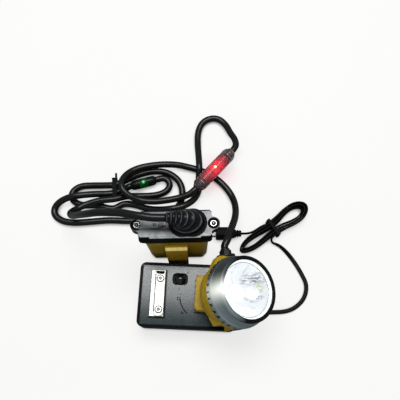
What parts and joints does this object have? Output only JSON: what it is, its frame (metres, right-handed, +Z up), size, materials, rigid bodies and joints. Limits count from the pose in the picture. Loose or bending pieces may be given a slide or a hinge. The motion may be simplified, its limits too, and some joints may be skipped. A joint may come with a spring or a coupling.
{
  "type": "miner's cap lamp",
  "caption": "Corded cap lamp set: upright battery pack, tilted round headpiece resting on a charging dock, looped main cable with in-line marker lamps, thin tied lead with a two-blade plug.",
  "frame": {"origin": "middle of the footprint of the battery pack, dock and headpiece, on the surface they stand on", "axes": "+Z up; the battery pack stands behind (+Y), the dock and the headpiece are in front (-Y), the long cable lies to the left (-X)"},
  "size_m": [0.2789, 0.2438, 0.114],
  "materials": {
    "yellow_case": "moulded, semi-gloss",
    "black_plastic": "fine texture",
    "rubber": "matt",
    "cable_jacket": "satin",
    "steel": "bright",
    "glossy_black": "polished",
    "brass": "turned",
    "cell_sleeve": "sleeved can",
    "green_board": "circuit board",
    "transformer": "wound",
    "clear_lens": "clear",
    "pale_ring": "smooth",
    "bright_reflector": "mirror",
    "led": "phosphor",
    "white_board": "white solder mask",
    "aluminium": "cast",
    "red_tube": "clear tinted",
    "grey_plug": "translucent",
    "red_board": "circuit board",
    "smoky_tube": "clear tinted"
  },
  "bodies": {
    "set": {"battery_case": "yellow_case", "cell_tray": "black_plastic", "cells": "cell_sleeve", "cell_straps": "steel", "protection_board": "green_board", "battery_collar": "black_plastic", "lid_inserts": "brass", "lid_gasket": "rubber", "battery_lid": "black_plastic", "lid_screws": "steel", "boot_gland": "rubber", "gland_locknut": "brass", "cable_boot": "rubber", "belt_clip": "yellow_case", "clip_screws": "steel", "dock_feet": "rubber", "dock_base": "black_plastic", "dock_board": "green_board", "charge_transformer": "transformer", "dock_top": "black_plastic", "dock_screws": "steel", "dock_bracket": "steel", "bracket_spacers": "brass", "bracket_screws": "steel", "stud_spring": "steel", "lead_grommet": "rubber", "headpiece_housing": "yellow_case", "hook_plate": "black_plastic", "hook_screws": "steel", "bezel": "black_plastic", "lens": "clear_lens", "lens_gasket": "pale_ring", "reflector": "bright_reflector", "main_led": "led", "led_board": "white_board", "heat_sink": "aluminium", "driver_board": "green_board", "button_spring": "steel", "head_gland": "black_plastic", "head_gland_nut": "black_plastic", "main_cable_a": "cable_jacket", "main_cable_b": "cable_jacket", "main_cable_c": "cable_jacket", "cable_tie": "rubber", "beacon_tube": "red_tube", "beacon_ends": "grey_plug", "beacon_board": "red_board", "pilot_tube": "smoky_tube", "pilot_ends": "rubber", "pilot_board": "green_board", "lead_plug": "black_plastic", "plug_blades": "steel", "lead_stretch_a": "cable_jacket", "lead_hank": "cable_jacket", "lead_stretch_b": "cable_jacket", "lead_tie": "rubber"},
    "button": {"power_button": "rubber"},
    "stud": {"contact_stud": "glossy_black", "stud_clip": "steel"}
  },
  "joints": [
    {"name": "power_button_press", "type": "slide", "parent": "set", "child": "button", "axis": [-0.1219, 0.9925, 0], "range_m": [0, 0.0015], "stiffness_N_per_m": 900, "springref_m": -0.001, "deforming": ["button_spring"]},
    {"name": "contact_stud_press", "type": "slide", "parent": "set", "child": "stud", "axis": [0, 0, -1], "range_m": [0, 0.002], "stiffness_N_per_m": 500, "springref_m": -0.002, "deforming": ["stud_spring"]}
  ]
}
